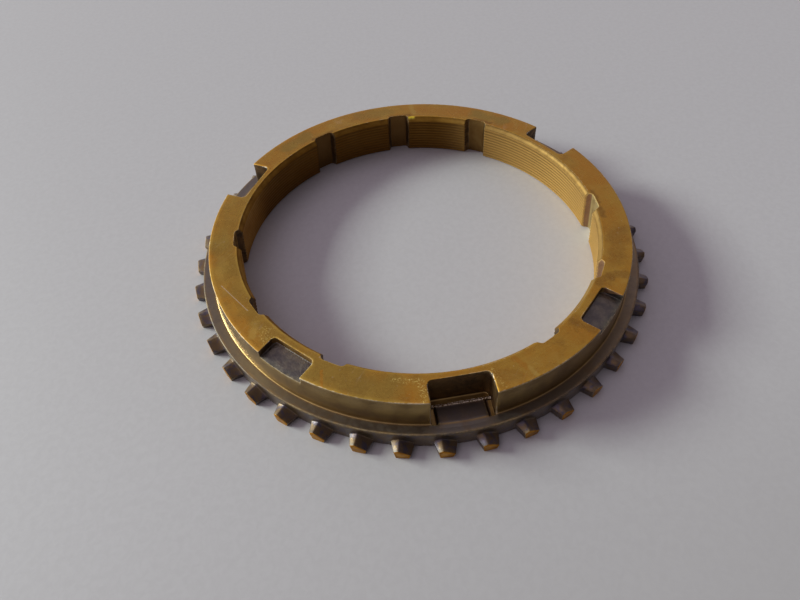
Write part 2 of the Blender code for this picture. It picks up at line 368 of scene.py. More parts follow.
def cutColumns(centre, half, corner, innerFlat, rows):
    # Columns (axis angle, across, section, inner flat, trim on the hub face, trim on the wall, corner
    # samples, span samples) of a notch or pocket. The rows run from outside to the middle, each with the
    # span up to the next. In a corner the inner flat moves out by corner (1 - sqrt(1 - bend^2)), where bend
    # goes from 0 to 1.
    spans = [row[-1] for row in rows]
    found = [(centre, 0, rows[-1][1], innerFlat, 0, 0, 1, spans[-1])]
    for side, sideSpans in ((-1, spans), (1, [1] + spans[:-1])):
        for (across, section, faceTrim, wallTrim, steps, _), span in zip(rows, sideSpans):
            bend = max(min((across - (half - corner)) / corner, 1), 0)
            flat = innerFlat + corner * (1 - math.sqrt(1 - bend**2))
            found.append((centre, side * across, section, flat, faceTrim, wallTrim, steps, span))
    return found


def notchColumns(centre):
    b = hubBand
    half = b["notchHalf"]
    rows = [(half + out, "full", 0, 0, 1, span) for out, span in b["notchOutside"]]
    rows += [(half + b["wallGap"], "full", *b["notchMouth"], 5, 3),
             (half - b["wallGap"], "strip", *b["notchSide"], 3, 0)]
    rows += [(across, "strip", 0, 0, 1, 0) for across in b["notchInside"]]
    rows += [(b["padFoot"], "strip", *b["padEdge"], 3, 1), (b["padHalf"], "pad", *b["padEdge"], 3, 1)]
    rows += [(across, "pad", 0, 0, 1, 1) for across in b["padInside"]]
    return cutColumns(centre, half, b["notchCorner"], b["notchFlat"], rows)


def pocketColumns(centre):
    b = hubBand
    half, corner = b["pocketHalf"], b["pocketCorner"]
    rows = [(half + out, "full", 0, 0, 1, span) for out, span in b["pocketOutside"]]
    rows += [(half + b["wallGap"], "full", *b["pocketMouth"], 4, 2),
             (half - b["wallGap"], "pocket", *b["pocketSide"], 4, 0)]
    rows += [(half - back, "pocket", 0, 0, 1, 0) for back in b["pocketBack"]]
    rows += [(across, "pocket", 0, 0, 1, 1) for across in (half - corner, *b["pocketInside"])]
    return cutColumns(centre, half, corner, b["pocketFlat"], rows)


def hubBandGrid():
    # Every column follows one of the sections, from the hub face down the wall or a cut to the flange
    b = hubBand
    sections = hubSections()

    def angleOf(across):
        return math.degrees(math.asin(across / b["innerRadius"]))

    count = ring["notchCount"]
    notches = [ring["notchFirstAngle"] + 360 * place / count for place in range(count)]
    pockets = [ring["notchFirstAngle"] + side * b["pocketOffset"] for side in (-1, 1)]
    halfAngles = [angleOf(b["notchHalf"] + b["notchOutside"][0][0])] * len(notches)
    halfAngles += [angleOf(b["pocketHalf"] + b["pocketOutside"][0][0])] * len(pockets)
    plain = fillPlain(freeStretches(notches + pockets, halfAngles), b["plainSpacing"])
    columns = [(angle, 0, "full", b["faceMiddle"], 0, 0, 1, 0) for angle in plain]
    for centre in notches:
        columns += notchColumns(centre)
    for centre in pockets:
        columns += pocketColumns(centre)
    columns.sort(key=lambda c: roundTheRing(c[0] + angleOf(c[1])))
    centre, across, kinds, flat, faceTrim, wallTrim, steps, spans = arrays(columns)
    keys = np.array([sections[kind][0] for kind in kinds])
    rowTrims = np.array([sections[kind][1] for kind in kinds])
    cut = kinds != "full"
    isPocket = kinds == "pocket"
    inNotch = cut & ~isPocket
    keys[:, 1, 0] = flat
    keys[cut, 2, 0] = flat[cut]
    chord = np.zeros(keys.shape[:2], bool)
    chord[cut, 1:3] = True
    chord[inNotch, 3:7] = True
    points = placed(centre[:, None], across[:, None], keys[..., 0], keys[..., 1], chord)
    columnTrims = np.where(np.arange(keys.shape[1]) < 2, faceTrim[:, None], wallTrim[:, None])
    columnTrims[isPocket, 2] = faceTrim[isPocket]
    zones = np.full(keys.shape[:2], wallZone)
    zones[:, :2] = faceZone
    zones[:, 7:] = forgedZone
    zones[inNotch, 1:7] = brownedZone
    zones[inNotch, 2] = wallZone
    zones[kinds == "strip", 6] = wallZone
    zones[isPocket, 1] = slotZone
    for cutAway, lastRow in ((inNotch, 7), (isPocket, 3)):
        zones[cutAway != np.roll(cutAway, -1), 1:lastRow] = brownedZone
    zones[inNotch & (np.abs(across) <= b["padFoot"]), 6] = forgedZone
    zones[isPocket, 2] = pocketZone
    return band(points, rowTrims, b["rowCorners"], b["rowSpans"], columnTrims, steps, spans, zones)


# Flange and blocking teeth, from the flange's top down to the gear-side face

toothBand = {
    "innerRadius": 34.24,
    "middleRadius": 34.7,
    "bottomRadius": 30.68,
    "length": 1.71,
    "rootHalf": 1.58,
    "tipHalf": 1.10,
    "undercut": 0.23,
    "ridgeOffset": -0.51,
    "ridgeHeight": 1.94,
    "ridgeTip": 0.8,  # share of its way across that the ridge's line keeps at the foot of the tip
    "ridgeFoot": 0.85,  # and at the foot of the root
    "steepEave": 1.54,
    "wideEave": 0.91,
    "footChamfer": 0.15,
    "wallGap": 0.012,
    "besideGap": 0.45,
    "wallLevels": (0.62, 0.3),  # shares of the eave's height, for the keys on the flange's wall
    "wallLeans": (0.4, 0.7, 0.95, 1, 1),  # shares of the undercut from the eave down
    "wallTrim": 0.14,
    "edgeTrim": 0.09,
    "ridgeTrim": 0.12,
    "rowTrims": (0, 0.1, ring["rimRound"], 0.16, 0.09, 0.07, 0.05, 0.05, 0),
    "rowCorners": (1, 2, 4, 3, 4, 3, 2, 2, 1),
    "rowSpans": (1, 1, 2, 2, 2, 1, 0, 1, 0),
}


def toothColumns():
    # The nine columns of a gap and its tooth: places across the tooth's middle line, height of the eave or
    # roof, whether it is on the tooth, trim, corner samples, span samples. The rows are two on the flange's
    # top, rim, root and tip of the roof, tip and root at the bottom, foot chamfer, bottom face.
    b = toothBand
    steep, wide, ridge = b["steepEave"], b["wideEave"], b["ridgeHeight"]
    near = b["rootHalf"] + b["wallGap"]
    far = b["rootHalf"] + b["besideGap"]

    def beside(across):
        # the flange's wall leans in at the foot as the tooth's side does
        lean = math.copysign(b["undercut"], across)
        return [across] * 4 + [across - share * lean for share in b["wallLeans"]]

    def edge(side):
        # between the roof and the side
        root = side * (b["rootHalf"] - b["wallGap"])
        tip = side * b["tipHalf"]
        lean = side * b["undercut"]
        return [root] * 4 + [tip, tip - lean] + [root - lean] * 3

    def roof(across):
        tip = across * b["tipHalf"] / b["rootHalf"] if across > 0 else across
        return [across] * 4 + [tip, tip * b["ridgeTip"]] + [across * b["ridgeFoot"]] * 3

    return [
        ([0] * 9, (steep + wide) / 2, False, 0, 1, 1),
        (beside(-far), steep, False, 0, 1, 0),
        (beside(-near), steep, False, b["wallTrim"], 2, 2),
        (edge(-1), steep, True, b["edgeTrim"], 3, 1),
        (roof(b["ridgeOffset"]), ridge, True, b["ridgeTrim"], 3, 1),
        (roof((b["rootHalf"] + b["ridgeOffset"]) / 2), (ridge + wide) / 2, True, 0, 1, 1),
        (edge(1), wide, True, b["edgeTrim"], 3, 2),
        (beside(near), wide, False, b["wallTrim"], 2, 0),
        (beside(far), wide, False, 0, 1, 1),
    ]


def toothBandGrid():
    # The same nine columns for every tooth, turned round the axis. A tooth's middle rows lie at its length
    # beyond the flange, and the flange's wall stays at its radius.
    b = toothBand
    count = ring["toothCount"]
    across, levels, isTooth, trim, steps, spans = arrays(toothColumns())
    perTooth = len(levels)
    inner, middle, rim = b["innerRadius"], b["middleRadius"], ring["flangeRadius"]
    chamfer = b["footChamfer"]
    foot = (rim, rim - chamfer, b["bottomRadius"])
    tip = rim + b["length"]
    reach = np.where(isTooth[:, None], (inner, middle, rim, rim, tip, tip, *foot),
                     (inner, middle, rim, rim, rim, rim, *foot))
    tops = [flangeTop(radius) for radius in (inner, middle, rim)]
    upper, lower = b["wallLevels"]
    onTooth = np.array([[*tops, level, level, 0, 0, 0, 0] for level in levels])
    onWall = np.array([[*tops, level, level * upper, level * lower, chamfer, 0, 0] for level in levels])
    heights = np.where(isTooth[:, None], onTooth, onWall)
    angles = np.repeat(ring["notchFirstAngle"] + (np.arange(count) + 0.5) * 360 / count, perTooth)
    angles[::perTooth] -= 180 / count
    across, reach, heights = (np.tile(values, (count, 1)) for values in (across, reach, heights))
    isTooth, trim, steps, spans = (np.tile(values, count) for values in (isTooth, trim, steps, spans))
    keys = placed(angles[:, None], across, reach, heights, False)
    columnTrims = np.zeros(reach.shape)
    columnTrims[:, 3:6] = trim[:, None]
    rowTrims = np.tile(b["rowTrims"], (len(reach), 1))
    rowTrims[~isTooth, 3:6] = 0
    zones = np.full(reach.shape, forgedZone)
    followingTooth = isTooth & np.roll(isTooth, -1)
    zones[followingTooth, 4] = tipZone
    zones[:, 7:] = faceZone
    zones[followingTooth, 5:] = faceZone
    return band(keys, rowTrims, b["rowCorners"], b["rowSpans"], columnTrims, steps, spans, zones)


# Joining the three bands into one closed surface

def quads(index):
    # Faces between neighbouring columns and rows of point numbers, round the whole band
    around = np.roll(index, -1, axis=0)
    return np.stack([index[:, :-1], index[:, 1:], around[:, 1:], around[:, :-1]], axis=-1).reshape(-1, 4)


def zipper(anglesA, pointsA, anglesB, pointsB):
    # Triangles between two rings of points that share their axis. Each step goes on along the ring whose
    # next edge has its middle at the smaller angle.
    middles = []
    numbers = []
    for angles, points in ((anglesA, pointsA), (anglesB, pointsB)):
        order = np.argsort(angles % turn)
        starts = (angles % turn)[order]
        middles.append((starts + np.append(starts[1:], starts[0] + turn)) / 2)
        numbers.append(points[order])
    fromA = np.argsort(np.concatenate(middles), kind="stable") < len(anglesA)
    doneA = np.cumsum(fromA) - fromA
    doneB = np.cumsum(~fromA) - ~fromA
    ringA, ringB = numbers
    following = np.where(fromA, ringA[(doneA + 1) % len(ringA)], ringB[(doneB + 1) % len(ringB)])
    return np.stack([ringB[doneB % len(ringB)], following, ringA[doneA % len(ringA)]], axis=-1)


def ringMesh():
    # Each band's points go from (angle, radius, height) to x, y, z, and the bands' edges are zipped together
    bands = [coneBandGrid(), hubBandGrid(), toothBandGrid()]
    indices = []
    faces = []
    zones = []
    first = 0
    for grid, bandZones in bands:
        columns, rows = grid.shape[:2]
        indices.append(first + np.arange(columns * rows).reshape(columns, rows))
        first += columns * rows
        faces.append(quads(indices[-1]))
        zones.append(bandZones.reshape(-1))
    faces[0] = faces[0][:, ::-1]  # the cone's rows run inwards and down, so its faces are turned round
    cone, hub, flange = range(3)
    for bandA, rowA, bandB, rowB, zone in ((cone, 0, hub, 0, faceZone), (hub, -1, flange, 0, forgedZone),
                                           (flange, -1, cone, -1, faceZone)):
        faces.append(zipper(bands[bandA][0][:, rowA, 0], indices[bandA][:, rowA],
                            bands[bandB][0][:, rowB, 0], indices[bandB][:, rowB]))
        zones.append(np.full(len(faces[-1]), zone))
    angle, radius, height = np.concatenate([grid.reshape(-1, 3) for grid, _ in bands]).T
    vertices = np.stack([radius * np.cos(angle), radius * np.sin(angle), height], axis=-1) * mm
    mesh = bpy.data.meshes.new("ringSurface")
    mesh.from_pydata(vertices.tolist(), [], sum((part.tolist() for part in faces), []))
    mesh.polygons.foreach_set("material_index", np.concatenate(zones).astype(np.int32))
    mesh.update()
    return mesh


def turnOutwards(mesh):
    # The signed volume under the triangles is negative when the faces point inwards
    mesh.calc_loop_triangles()
    points = np.empty(len(mesh.vertices) * 3)
    mesh.vertices.foreach_get("co", points)
    corners = np.empty(len(mesh.loop_triangles) * 3, np.int32)
    mesh.loop_triangles.foreach_get("vertices", corners)
    triangles = points.reshape(-1, 3)[corners.reshape(-1, 3)]
    volume = np.linalg.det(triangles).sum() / 6
    if volume < 0:
        mesh.flip_normals()
    print(f"ring surface: {len(triangles)} triangles, {abs(volume) / mm**3:.0f} mm3")


def newObject(name, data):
    made = bpy.data.objects.new(name, data)
    bpy.context.scene.collection.objects.link(made)
    return made


ringPiece = newObject("ring_body", ringMesh())
turnOutwards(ringPiece.data)
ringPiece.data.shade_smooth()
weighted = ringPiece.modifiers.new("face weighted normals", "WEIGHTED_NORMAL")
weighted.keep_sharp = False


# Wear and dirt, carried on the mesh's points

wear = {
    "unit": 10,  # change of the unit normal per millimetre that counts as one
    "most": 0.6,
    "edgeRoughness": 0.70,  # how much rougher an edge of one unit would be
}


def markEdges(mesh):
    # An edge's bend is (change of normal . step) / step^2. A point's "ridge" is the sharpest outward bend of
    # the edges that meet at it, and its "hollow" the sharpest inward one, both in units.
    count = len(mesh.vertices)
    points = np.empty(count * 3)
    mesh.vertices.foreach_get("co", points)
    normals = np.empty(count * 3, np.float32)
    mesh.vertex_normals.foreach_get("vector", normals)
    ends = np.empty(len(mesh.edges) * 2, np.int32)
    mesh.edges.foreach_get("vertices", ends)
    start, end = ends.reshape(-1, 2).T
    points, normals = points.reshape(-1, 3) / mm, normals.reshape(-1, 3)
    step = points[end] - points[start]
    leastSquare = 1e-6  # square millimetres, for edges of no length
    bend = ((normals[end] - normals[start]) * step).sum(axis=1) / ((step**2).sum(axis=1) + leastSquare)
    for name, amount in (("ridge", bend), ("hollow", -bend)):
        sharpest = np.zeros(count)
        np.maximum.at(sharpest, start, amount)
        np.maximum.at(sharpest, end, amount)
        values = np.clip(sharpest / wear["unit"], 0, wear["most"])
        mesh.attributes.new(name, "FLOAT", "POINT").data.foreach_set("value", values)


markEdges(ringPiece.data)
print("wear marked on the edges")


# Shader nodes

class Nodes:
    # Adds nodes to one tree. What an input is given may be a plain value or a socket to link.

    def __init__(self, tree):
        self.tree = tree

    def feed(self, socket, value):
        if isinstance(value, bpy.types.NodeSocket):
            self.tree.links.new(value, socket)
        else:
            socket.default_value = value

    def add(self, kind, inputs=None, **settings):
        node = self.tree.nodes.new("ShaderNode" + kind)
        for name, value in settings.items():
            setattr(node, name, value)
        for key, value in (inputs or {}).items():
            self.feed(node.inputs[key], value)
        return node

    def calc(self, operation, first, second=0.0, clamp=False):
        return self.add("Math", {0: first, 1: second}, operation=operation, use_clamp=clamp).outputs[0]

    def plus(self, first, second):
        return self.calc("ADD", first, second)

    def minus(self, first, second, clamp=False):
        return self.calc("SUBTRACT", first, second, clamp)

    def times(self, first, second):
        return self.calc("MULTIPLY", first, second)

    def over(self, first, second, clamp=False):
        return self.calc("DIVIDE", first, second, clamp)

    def vector(self, operation, first, second):
        # SCALE takes a number as its second value, and a dot product or a distance is a number
        key = 3 if operation == "SCALE" else 1
        outputs = self.add("VectorMath", {0: first, key: second}, operation=operation).outputs
        return outputs["Value" if operation in ("DOT_PRODUCT", "DISTANCE") else "Vector"]

    def ramp(self, value, low, high, start=0.0, end=1.0):
        inputs = {0: value, 1: low, 2: high, 3: start, 4: end}
        return self.add("MapRange", inputs, interpolation_type="SMOOTHSTEP").outputs[0]

    def blend(self, share, first, second):
        return self.add("Mix", {0: share, 6: first, 7: second}, data_type="RGBA").outputs[2]

    def noise(self, position, scale, detail, **more):
        inputs = {"Vector": position, "Scale": scale, "Detail": detail, **more}
        return self.add("TexNoise", inputs).outputs["Fac"]

    def attribute(self, name):
        return self.add("Attribute", attribute_name=name).outputs["Fac"]

    def here(self):
        return self.add("TexCoord").outputs["Object"]

    def axes(self, position):
        return self.add("SeparateXYZ", {0: position}).outputs

    def fromAxis(self, axes):
        # sqrt(x^2 + y^2)
        return self.calc("SQRT", self.plus(self.calc("POWER", axes[0], 2), self.calc("POWER", axes[1], 2)))

    def place(self, effect, **inputs):
        # A node of a shared effect, whose inputs are named in camelCase here and in words on the node
        node = self.tree.nodes.new("ShaderNodeGroup")
        node.node_tree = effects[effect]
        for name, value in inputs.items():
            label = "".join(" " + letter.lower() if letter.isupper() else letter for letter in name)
            self.feed(node.inputs[label], value)
        return node.outputs[0]

    def mottle(self, size, low, high, **more):
        return self.place("mottle", size=size, low=low, high=high, **more)


def turningMarks(n, given):
    # Noise that changes fast with radius + height and slowly round the ring
    axes = n.axes(n.here())
    fast = n.over(n.times(n.plus(n.fromAxis(axes), axes[2]), perMetre), given["spacing"])
    slow = [n.over(n.times(axis, perMetre), given["run"]) for axis in axes[:2]]
    spreadOut = n.add("CombineXYZ", {0: fast, 1: slow[0], 2: slow[1]}).outputs[0]
    return n.noise(spreadOut, scale=1.0, detail=2.0, Roughness=0.6)


def mottle(n, given):
    # Cloudy noise of a given size in millimetres, cut between two levels
    moved = n.vector("ADD", n.here(), given["shift"])
    scale = n.over(perMetre, given["size"])
    cloud = n.noise(moved, scale, given["detail"], Roughness=0.58, Distortion=given["swirl"])
    return n.ramp(cloud, given["low"], given["high"])


def wornEdges(n, given):
    # The mesh's ridge value, made ragged by noise and more or less worn round the ring
    ridge = n.attribute("ridge")
    fine = n.noise(n.here(), scale=2600.0, detail=3.0)
    broad = n.noise(n.here(), scale=130.0, detail=2.0)
    uneven = n.minus(n.plus(fine, broad), 1.0)
    level = n.plus(ridge, n.times(uneven, given["ragged"]))
    held = n.times(level, n.ramp(ridge, low=0.02, high=0.1))  # flat places stay clean
    return n.ramp(held, given["start"], given["full"])


def settledDirt(n, given):
    # The mesh's hollow value with noise, for grime in grooves and inner corners
    uneven = n.minus(n.noise(n.here(), scale=1500.0, detail=3.0), 0.5)
    level = n.plus(n.attribute("hollow"), n.times(uneven, given["ragged"]))
    return n.ramp(level, given["start"], given["full"])


def scratches(n, given):
    # Thin level lines of a noise that is stretched along one direction, kept only in patches
    turned = n.add("VectorRotate", {"Vector": n.here(), "Angle": given["angle"]}, rotation_type="Z_AXIS")
    axes = n.axes(turned.outputs[0])
    across = n.over(n.times(axes[0], perMetre), given["apart"])
    along = n.over(n.times(axes[1], perMetre), given["length"])
    stretched = n.add("CombineXYZ", {0: across, 1: along, 2: axes[2]}).outputs[0]
    level = n.calc("ABSOLUTE", n.minus(n.noise(stretched, scale=1.0, detail=0.0), 0.5))
    line = n.minus(1.0, n.over(level, given["width"]), clamp=True)
    patch = n.noise(n.here(), scale=180.0, detail=2.0)
    patchRim = 0.08
    return n.times(line, n.ramp(patch, given["rarity"], n.plus(given["rarity"], patchRim)))


def stain(n, given):
    # A soft band of given half width along the line between two places, in millimetres, with a cloudy rim
    position = n.vector("SCALE", n.here(), perMetre)
    away = n.vector("SUBTRACT", position, given["start"])
    line = n.vector("SUBTRACT", given["end"], given["start"])
    reached = n.vector("DOT_PRODUCT", away, line)
    share = n.over(reached, n.vector("DOT_PRODUCT", line, line), clamp=True)
    distance = n.vector("DISTANCE", away, n.vector("SCALE", line, share))
    leastSize = 0.25
    cloudScale = n.over(0.8, n.calc("MAXIMUM", given["half width"], leastSize))
    uneven = n.times(n.minus(n.noise(position, cloudScale, detail=4.0), 0.5), given["cloud"])
    level = n.plus(n.over(distance, given["half width"]), n.times(uneven, 4.0))
    return n.ramp(level, low=1.25, high=0.35)


def axisDistance(n, given):
    return n.times(n.fromAxis(n.axes(n.here())), perMetre)


def ringSide(n, given):
    # How far a place lies towards one direction from the axis, as a share of the cone's radius
    share = n.over(n.vector("DOT_PRODUCT", n.here(), given["direction"]), ring["coneFootRadius"] * mm)
    return n.ramp(share, given["low"], given["high"])


def newEffect(name, build, given, output="mask"):
    # A node group with named inputs, and one output that build works out
    tree = bpy.data.node_groups.new(name, "ShaderNodeTree")
    for label, value in given.items():
        kind = "NodeSocketVector" if isinstance(value, tuple) else "NodeSocketFloat"
        tree.interface.new_socket(label, in_out="INPUT", socket_type=kind).default_value = value
    tree.interface.new_socket(output, in_out="OUTPUT", socket_type="NodeSocketFloat")
    result = build(Nodes(tree), tree.nodes.new("NodeGroupInput").outputs)
    tree.links.new(result, tree.nodes.new("NodeGroupOutput").inputs[output])
    return tree


cloudy = {"size": 3.0, "low": 0.4, "high": 0.6, "swirl": 0.6, "shift": 0.0, "detail": 5.0}
fineLines = {"angle": 0.0, "apart": 1.2, "length": 14.0, "width": 0.02, "rarity": 0.55}
spot = {"start": (0.0, 0.0, 0.0), "end": (1.0, 0.0, 0.0), "half width": 0.5, "cloud": 0.5}
effects = {
    "marks": newEffect("turning marks", turningMarks, {"spacing": 0.1, "run": 25.0}, "marks"),
    "mottle": newEffect("mottle", mottle, cloudy),
    "wear": newEffect("worn edges", wornEdges, {"start": 0.12, "full": 0.5, "ragged": 0.35}),
    "dirt": newEffect("settled dirt", settledDirt, {"start": 0.04, "full": 0.3, "ragged": 0.2}),
    "scratches": newEffect("scratches", scratches, fineLines),
    "stain": newEffect("stain", stain, spot),
    "radius": newEffect("distance from axis", axisDistance, {}, "millimetres"),
    "side": newEffect("ring side", ringSide, {"direction": (0.0, 1.0, 0.0), "low": 0.3, "high": 0.7}),
}


# Finishes

def newMaterial(name, mesh):
    material = bpy.data.materials.new(name)
    material.use_nodes = True
    mesh.materials.append(material)
    return material.node_tree


class Finish(Nodes):
    # A metal for the ring's next material slot, whose colours are laid over each other by masks. Its
    # settings hold the colours, the two levels of roughness, the size and shift of the clouds between them,
    # the depths of its bumps in millimetres, and the weight and roughness of a thin clear oil film.

    def __init__(self, name, settings):
        super().__init__(newMaterial(name, ringPiece.data))
        self.settings = settings
        self.shader = self.tree.nodes["Principled BSDF"].inputs
        self.shader["Metallic"].default_value = 1.0
        for socket, value in zip(("Coat Weight", "Coat Roughness"), settings.get("film", ())):
            self.shader[socket].default_value = value

    def tones(self, mask, first, second):
        return self.blend(mask, (*self.settings[first], 1.0), (*self.settings[second], 1.0))

    def lay(self, name, mask, share=None):
        amount = mask if share is None else self.times(mask, share)
        self.base = self.blend(amount, self.base, (*self.settings[name], 1.0))

    def topStain(self, width, start, end, **more):
        return self.place("stain", start=onTop(*start), end=onTop(*end), halfWidth=width, **more)

    def finish(self, *bumps):
        # Sharp edges are rougher. Each bump is a height and the name of its depth, laid over the one before.
        f = self.settings
        size, shift = f["roughCloud"]
        level = self.ramp(self.mottle(size, low=0.3, high=0.7, shift=shift), 0.0, 1.0, *f["roughness"])
        rubbed = self.plus(level, self.times(self.attribute("ridge"), wear["edgeRoughness"]))
        self.feed(self.shader["Base Color"], self.base)
        self.feed(self.shader["Roughness"], rubbed)
        normal = None
        for height, depth in bumps:
            bump = self.add("Bump", {"Height": height, "Strength": 1.0, "Distance": f[depth] * mm})
            if normal is not None:
                self.feed(bump.inputs["Normal"], normal)
            normal = bump.outputs["Normal"]
        self.feed(self.shader["Normal"], normal)


turnedFace = {
    "gold": (0.50, 0.300, 0.046),
    "orange": (0.49, 0.235, 0.030),
    "brown": (0.28, 0.145, 0.028),
    "yellow": (0.57, 0.40, 0.085),
    "olive": (0.33, 0.235, 0.048),
    "worn": (0.84, 0.73, 0.50),
    # colour of the painted glints
    "glint": (0.95, 0.80, 0.22),
    "roughness": (0.22, 0.32),
    "roughCloud": (2.5, 0.5),
    "markDepth": 0.0025,
    "grainDepth": 0.002,
    "scratchDepth": -0.001,
    # colour, strength, half width in millimetres, and the angle and radius at each end of the stain
    "stains": (
        ("olive", 0.45, 2.6, (150, 31.0), (178, 31.0)),
        ("olive", 0.60, 2.6, (180, 31.0), (226, 31.0)),
        ("yellow", 0.35, 0.9, (185, 31.0), (192, 31.6)),
        ("worn", 0.65, 0.065, (195, 31.8), (207, 30.1)),
        ("yellow", 0.55, 0.6, (212, 30.4), (215, 32.0)),
        ("olive", 0.75, 3.0, (232, 31.0), (252, 31.2)),
        ("orange", 0.90, 0.22, (236, 30.8), (238, 32.8)),
        ("brown", 0.35, 1.2, (279, 30.6), (283, 31.5)),
        ("orange", 0.95, 0.45, (285, 29.2), (286.6, 31.5)),
        ("yellow", 0.80, 0.35, (287, 31.2), (287.4, 32.6)),
        ("brown", 0.65, 0.70, (305, 29.4), (306.6, 32.2)),
        ("brown", 0.65, 0.80, (322, 29.0), (325.5, 30.6)),
        ("brown", 0.65, 0.80, (325.5, 30.6), (328, 32.4)),
        ("brown", 0.45, 1.7, (332, 31.0), (344, 31.0)),
        ("brown", 0.80, 0.6, (350, 29.3), (361, 29.3)),
        ("orange", 0.80, 1.1, (6, 31.8), (19, 31.7)),
        ("olive", 0.80, 1.6, (49, 31.0), (59, 31.0)),
        ("orange", 0.60, 1.7, (63, 31.0), (78, 31.0)),
        ("yellow", 0.60, 0.5, (81, 29.8), (82, 32.6)),
        ("olive", 0.55, 1.6, (91, 31.0), (100, 31.0)),
        ("orange", 0.60, 1.2, (115.5, 31.0), (119.5, 31.0)),
        ("olive", 0.70, 1.7, (122, 31.0), (130, 31.0)),
        ("brown", 0.95, 0.45, (52, 29.3), (58, 29.3)),
        ("brown", 0.95, 0.45, (83, 29.2), (90, 29.2)),
        ("brown", 0.95, 0.45, (113, 29.2), (121, 29.2)),
    ),
    # strength, half width and ends of the places with painted glints, bright grains where light glints on
    # the hub face
    "paintedGlints": (
        (0.95, 0.55, (260.4, 30.0), (261.4, 32.6)),
        (0.80, 0.45, (254.0, 29.7), (260.5, 29.8)),
        (0.70, 0.40, (278.6, 29.8), (279.4, 32.6)),
        (0.50, 1.2, (216.0, 30.4), (222.0, 31.6)),
    ),
}


def onTop(angle, radius):
    # A place on the hub face in millimetres, from its angle in degrees and its radius
    return (radius * math.cos(math.radians(angle)), radius * math.sin(math.radians(angle)), ring["height"])


def makeTurnedFace():
    f = turnedFace
    skin = Finish("turned hub face", f)
    skin.base = skin.tones(skin.mottle(size=6.0, low=0.32, high=0.68), "gold", "orange")
    skin.lay("brown", skin.mottle(size=2.6, low=0.48, high=0.72, shift=0.3), share=0.5)
    skin.lay("yellow", skin.mottle(size=4.0, low=0.52, high=0.70, shift=0.7), share=0.4)
    for name, strength, width, start, end in f["stains"]:
        skin.lay(name, skin.topStain(width, start, end), strength)
    marks = skin.place("marks", spacing=0.09)
    skin.lay("brown", skin.ramp(marks, low=0.62, high=0.40, end=0.16))
    skin.lay("yellow", skin.mottle(size=0.22, low=0.36, high=0.64, swirl=0.0, shift=0.4), share=0.22)
    skin.lay("worn", skin.mottle(size=0.35, low=0.66, high=0.76, swirl=0.0), share=0.4)
    # painted glints: bright grains laid where light glints off the hub face's edges
    glintGrains = skin.mottle(size=0.2, low=0.54, high=0.62, swirl=0.0, shift=0.8)
    for strength, width, start, end in f["paintedGlints"]:
        skin.lay("glint", skin.times(skin.topStain(width, start, end), glintGrains), strength)
    scratched = skin.place("scratches", angle=0.7, apart=1.3, length=16.0, width=0.018, rarity=0.58)
    skin.lay("worn", scratched, share=0.1)
    skin.lay("worn", skin.place("wear", start=0.5, full=0.8, ragged=0.9), share=0.45)
    grain = skin.mottle(size=0.28, low=0.2, high=0.8, swirl=0.0)
    skin.finish((marks, "markDepth"), (grain, "grainDepth"), (scratched, "scratchDepth"))


outerWall = {
    "olive": (0.36, 0.236, 0.058),
    "dark": (0.22, 0.130, 0.032),
    "gold": (0.46, 0.30, 0.08),
    "worn": (0.70, 0.64, 0.50),
    "roughness": (0.33, 0.40),
    "roughCloud": (1.6, 0.2),
    "film": (0.8, 0.33),
    "swellDepth": 0.02,
    "markDepth": 0.0006,
}


def makeOuterWall():
    skin = Finish("oil-stained wall", outerWall)
    skin.base = skin.tones(skin.mottle(size=5.0, low=0.36, high=0.68), "olive", "dark")
    skin.lay("gold", skin.mottle(size=7.0, low=0.5, high=0.7, shift=0.4), share=0.6)
    marks = skin.place("marks", spacing=0.16)
    skin.lay("dark", skin.ramp(marks, low=0.60, high=0.38, end=0.15))
    skin.lay("worn", skin.place("wear", start=0.38, full=0.75, ragged=0.6), share=0.7)
    swell = skin.mottle(size=6.0, low=0.2, high=0.8, swirl=0.0, shift=0.9, detail=1.0)
    skin.finish((swell, "swellDepth"), (marks, "markDepth"))


def aroundRing(angle):
    return (math.cos(math.radians(angle)), math.sin(math.radians(angle)), 0.0)


rearShadeSide = {"direction": aroundRing(105), "low": 0.56, "high": 0.76}  # painted shade: the bore and its slots are darker on the rear side, which lies in shade
# painted light: the bore and the lead-in are lighter on the right side, whose inner faces look towards the
# window
litRightSide = {"direction": aroundRing(5), "low": 0.35, "high": 0.75}

coneFace = {
    "gold": (0.48, 0.270, 0.060),
    "brown": (0.38, 0.190, 0.034),
    # painted shade for the rear side
    "sideTone": (0.135, 0.060, 0.011),
    # painted light for the right side
    "paintedLight": (0.60, 0.385, 0.125),
    "worn": (0.80, 0.60, 0.22),
    "grime": (0.16, 0.085, 0.020),
    "roughness": (0.38, 0.44),
    "roughCloud": (2.0, 0.2),
    "swellDepth": 0.01,
}


def makeConeFace():
    skin = Finish("threaded cone", coneFace)
    skin.base = skin.tones(skin.mottle(size=6.0, low=0.36, high=0.68), "gold", "brown")
    # painted shade on the rear side
    skin.lay("sideTone", skin.place("side", **rearShadeSide), share=0.8)
    # painted light on the right side
    skin.lay("paintedLight", skin.place("side", **litRightSide), share=0.75)
    skin.lay("grime", skin.place("dirt", start=0.1, full=0.4), share=0.3)
    skin.lay("worn", skin.place("wear", start=0.5, full=0.9), share=0.12)
    swell = skin.mottle(size=4.0, low=0.2, high=0.8, swirl=0.0, shift=0.9)
    skin.finish((swell, "swellDepth"))


leadIn = {
    "gold": (0.42, 0.245, 0.045),
    "brown": (0.27, 0.140, 0.024),
    # painted light for the right side
    "paintedLight": (0.385, 0.262, 0.100),
    "glint": (0.95, 0.85, 0.14),
    "glintEnds": ((83.0, 28.75), (81.4, 28.75)),  # angle and radius of each end of a painted glint, a bright yellow reflection beside a rear slot
    "roughness": (0.60, 0.70),
    "roughCloud": (1.2, 0.2),
    "markDepth": 0.003,
}


